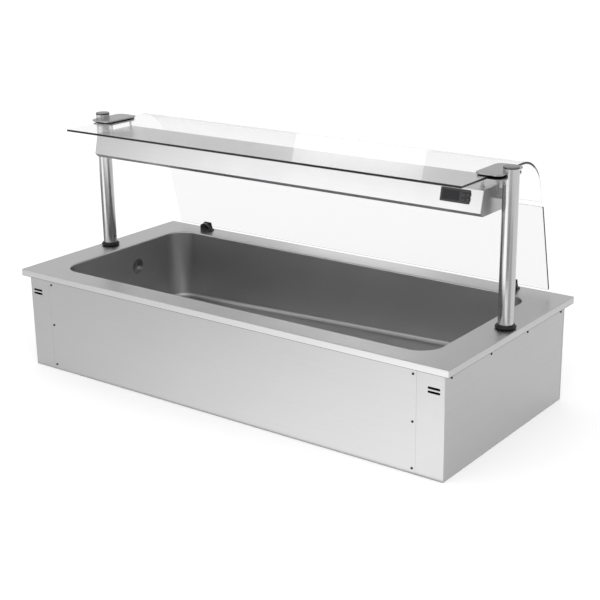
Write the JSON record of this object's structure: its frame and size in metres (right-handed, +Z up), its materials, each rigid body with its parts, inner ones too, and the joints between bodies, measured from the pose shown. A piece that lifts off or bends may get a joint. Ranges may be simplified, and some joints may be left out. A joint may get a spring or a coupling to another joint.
{
  "type": "drop-in cold well",
  "caption": "Long drop-in cold well in a steel casing, its deck carrying two posts, a bent glass canopy, a leaning glass screen and a light box with a controller.",
  "frame": {"origin": "middle of the casing's underside, on the surface it stands on", "axes": "+X along the counter to the right as the operator sees it, +Y away from the operator to the guests' side, +Z up"},
  "size_m": [1.5, 0.69, 0.738],
  "materials": {
    "brushed_steel": "brushed along its length",
    "satin_steel": "satin, fine grain",
    "tube_steel": "satin, ground round the tube",
    "galvanised_steel": "galvanised, dull spangle",
    "steel_screw": "bright, turned",
    "foam": "rigid foam, skinned",
    "copper": "drawn copper, dull",
    "brass": "turned",
    "black_rubber": "matt",
    "black_plastic": "satin",
    "black_gloss": "glossy",
    "gray_plastic": "satin",
    "clear_glass": "clear toughened, ground edges",
    "opal": "opal, satin",
    "white_board": "satin",
    "dark_window": "smoked, glossy",
    "key_gray": "satin"
  },
  "bodies": {
    "well": {"deck_top": "brushed_steel", "well_tank": "satin_steel", "insulation_jacket": "foam", "evaporator_coil": "copper", "pipe_stubs": "copper", "probe_pocket": "copper", "temperature_probe": "satin_steel", "drain_fitting": "satin_steel", "drain_gasket": "black_rubber", "drain_locknut": "brass", "overflow_cup": "satin_steel", "overflow_pipe": "gray_plastic", "hanging_frame": "galvanised_steel", "support_rails": "galvanised_steel", "bottom_pan": "galvanised_steel", "service_tray": "galvanised_steel", "front_panel": "brushed_steel", "left_end_casing": "brushed_steel", "right_end_casing": "brushed_steel", "rear_panel": "brushed_steel", "casing_screws": "steel_screw", "terminal_box": "gray_plastic", "cable_gland": "black_plastic", "lamp_cable": "black_rubber", "left_post_tube": "tube_steel", "right_post_tube": "tube_steel", "base_rings": "black_plastic", "post_cap_seals": "black_rubber", "post_caps": "tube_steel", "tie_rods": "steel_screw", "tie_rod_nuts": "steel_screw", "post_grub_screws": "steel_screw", "left_upper_clamp_plate": "brushed_steel", "right_upper_clamp_plate": "brushed_steel", "left_lower_clamp_plate": "brushed_steel", "right_lower_clamp_plate": "brushed_steel", "glass_gaskets": "black_rubber", "clamp_screws": "steel_screw", "upper_glass": "clear_glass", "lower_glass": "clear_glass", "left_glass_clamp": "black_gloss", "right_glass_clamp": "black_gloss", "glass_clamp_backs": "black_gloss", "glass_clamp_pads": "black_rubber", "glass_clamp_screws": "steel_screw", "light_box_housing": "brushed_steel", "light_box_left_end": "brushed_steel", "light_box_right_end": "brushed_steel", "light_diffuser": "opal", "led_board": "white_board", "led_driver": "white_board", "hanger_studs": "steel_screw", "box_brackets": "tube_steel", "controller_case": "black_plastic", "controller_window": "dark_window"},
    "strainer": {"drain_strainer": "satin_steel"},
    "key_up_cap": {"key_up": "key_gray"},
    "key_down_cap": {"key_down": "key_gray"},
    "key_set_cap": {"key_set": "key_gray"},
    "key_power_cap": {"key_power": "key_gray"}
  },
  "joints": [
    {"name": "strainer_lift", "type": "slide", "parent": "well", "child": "strainer", "axis": [0, 0, 1], "range_m": [0, 0.15]},
    {"name": "key_up_press", "type": "slide", "parent": "well", "child": "key_up_cap", "axis": [0, 0.9721, -0.2346], "range_m": [0, 0.0006], "stiffness_N_per_m": 700, "springref_m": -0.0006},
    {"name": "key_down_press", "type": "slide", "parent": "well", "child": "key_down_cap", "axis": [0, 0.9721, -0.2346], "range_m": [0, 0.0006], "stiffness_N_per_m": 700, "springref_m": -0.0006},
    {"name": "key_set_press", "type": "slide", "parent": "well", "child": "key_set_cap", "axis": [0, 0.9721, -0.2346], "range_m": [0, 0.0006], "stiffness_N_per_m": 700, "springref_m": -0.0006},
    {"name": "key_power_press", "type": "slide", "parent": "well", "child": "key_power_cap", "axis": [0, 0.9721, -0.2346], "range_m": [0, 0.0006], "stiffness_N_per_m": 700, "springref_m": -0.0006}
  ]
}
